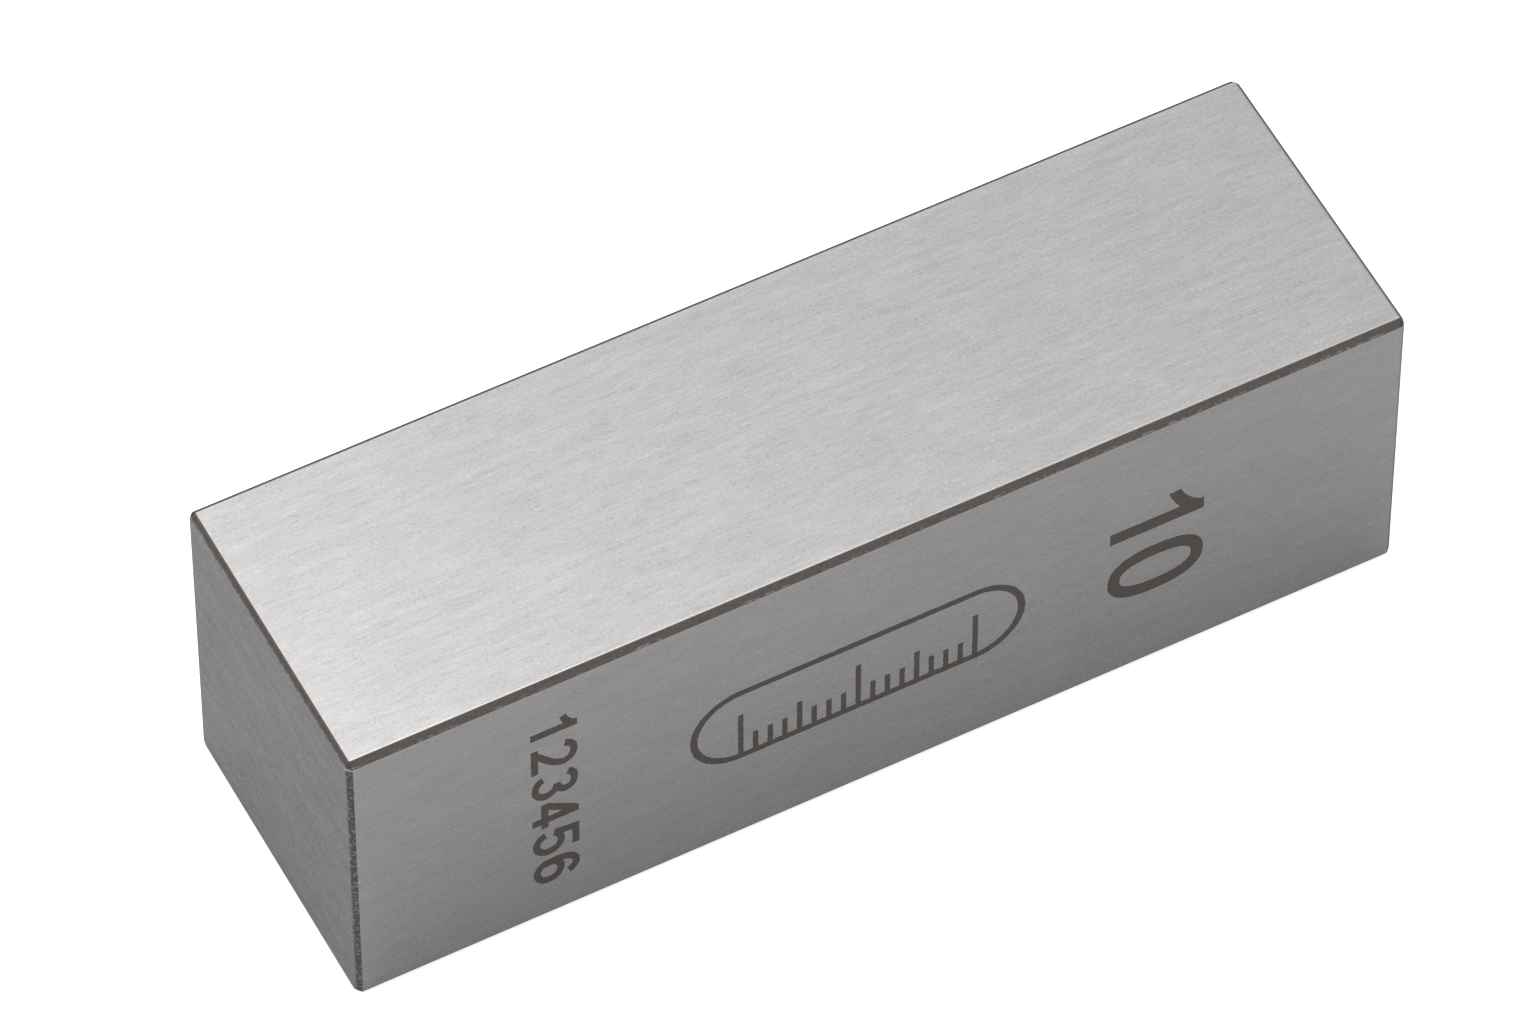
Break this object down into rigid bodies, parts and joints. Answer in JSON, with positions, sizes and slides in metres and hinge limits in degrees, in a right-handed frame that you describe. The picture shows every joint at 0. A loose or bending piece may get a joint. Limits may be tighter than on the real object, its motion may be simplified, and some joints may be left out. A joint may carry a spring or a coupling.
{
  "type": "gauge block",
  "caption": "Rectangular steel gauge block: a length standard with flat parallel top and bottom measuring faces, fine-broken edges and its nominal size marked on one long side.",
  "frame": {"origin": "middle of the lower measuring face, on which the block rests", "axes": "+X along the long sides, -Y out of the marked long side, +Z from the lower to the upper measuring face"},
  "size_m": [0.03, 0.009, 0.01],
  "materials": {
    "ground_steel": "hardened steel, finely lapped measuring faces and ground sides, dark ground edge breaks",
    "etched_mark": "matt dark brown-grey etched marking"
  },
  "bodies": {
    "root": {"gauge_block": "ground_steel"}
  },
  "joints": []
}
